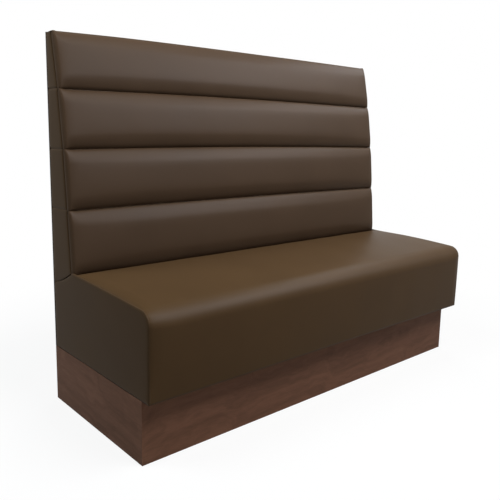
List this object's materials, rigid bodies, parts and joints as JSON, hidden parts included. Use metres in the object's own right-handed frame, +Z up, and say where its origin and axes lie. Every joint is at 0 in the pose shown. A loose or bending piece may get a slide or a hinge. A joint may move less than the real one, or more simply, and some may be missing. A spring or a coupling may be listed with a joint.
{
  "type": "restaurant booth seat",
  "caption": "High-back booth seat for one side of a table: back padded in horizontal channels, boxed waterfall seat and recessed timber plinth, built as separate frame, foam and cover pieces.",
  "frame": {"origin": "on the floor, under the middle of the booth's outer box", "axes": "+Z up, -Y towards the sitter (the front), +Y towards the wall behind, +X to the right-hand end seen from the front"},
  "size_m": [1.52, 0.57, 1.1833],
  "materials": {
    "vinyl": "satin",
    "foam": "matte",
    "wadding": "matte",
    "birch_ply": "matte",
    "softwood": "matte",
    "walnut_board": "satin",
    "black_cloth": "matte",
    "steel": "satin"
  },
  "bodies": {
    "root": {"seat_cover": "vinyl", "seat_left_cover": "vinyl", "seat_right_cover": "vinyl", "channel_cover_1": "vinyl", "channel_cover_2": "vinyl", "channel_cover_3": "vinyl", "channel_cover_4": "vinyl", "back_left_cover": "vinyl", "back_right_cover": "vinyl", "back_top_cover": "vinyl", "seat_foam": "foam", "seat_front_foam": "foam", "channel_foam_1": "foam", "channel_foam_2": "foam", "channel_foam_3": "foam", "channel_foam_4": "foam", "seat_left_pad": "wadding", "seat_right_pad": "wadding", "back_left_pad": "wadding", "back_right_pad": "wadding", "plinth_rear_board": "birch_ply", "plinth_brace_1": "birch_ply", "plinth_brace_2": "birch_ply", "plinth_brace_3": "birch_ply", "seat_front_rail": "birch_ply", "seat_rear_rail": "birch_ply", "seat_left_end": "birch_ply", "seat_right_end": "birch_ply", "seat_rib_1": "birch_ply", "seat_rib_2": "birch_ply", "seat_rib_3": "birch_ply", "seat_deck": "birch_ply", "back_left_upright": "birch_ply", "back_right_upright": "birch_ply", "back_rib_1": "birch_ply", "back_rib_2": "birch_ply", "back_rib_3": "birch_ply", "back_top_rail": "birch_ply", "back_bottom_rail": "birch_ply", "back_face_panel": "birch_ply", "plinth_corner_blocks": "softwood", "seat_corner_blocks": "softwood", "back_seam_batten_1": "softwood", "back_seam_batten_2": "softwood", "back_seam_batten_3": "softwood", "plinth_front_board": "walnut_board", "plinth_left_board": "walnut_board", "plinth_right_board": "walnut_board", "back_lining": "black_cloth", "seat_lining": "black_cloth", "seat_underlining": "black_cloth", "seat_tie_plates": "steel", "tie_plate_screws": "steel", "back_bolts": "steel", "back_bolt_washers": "steel", "back_tee_nuts": "steel"}
  },
  "joints": []
}
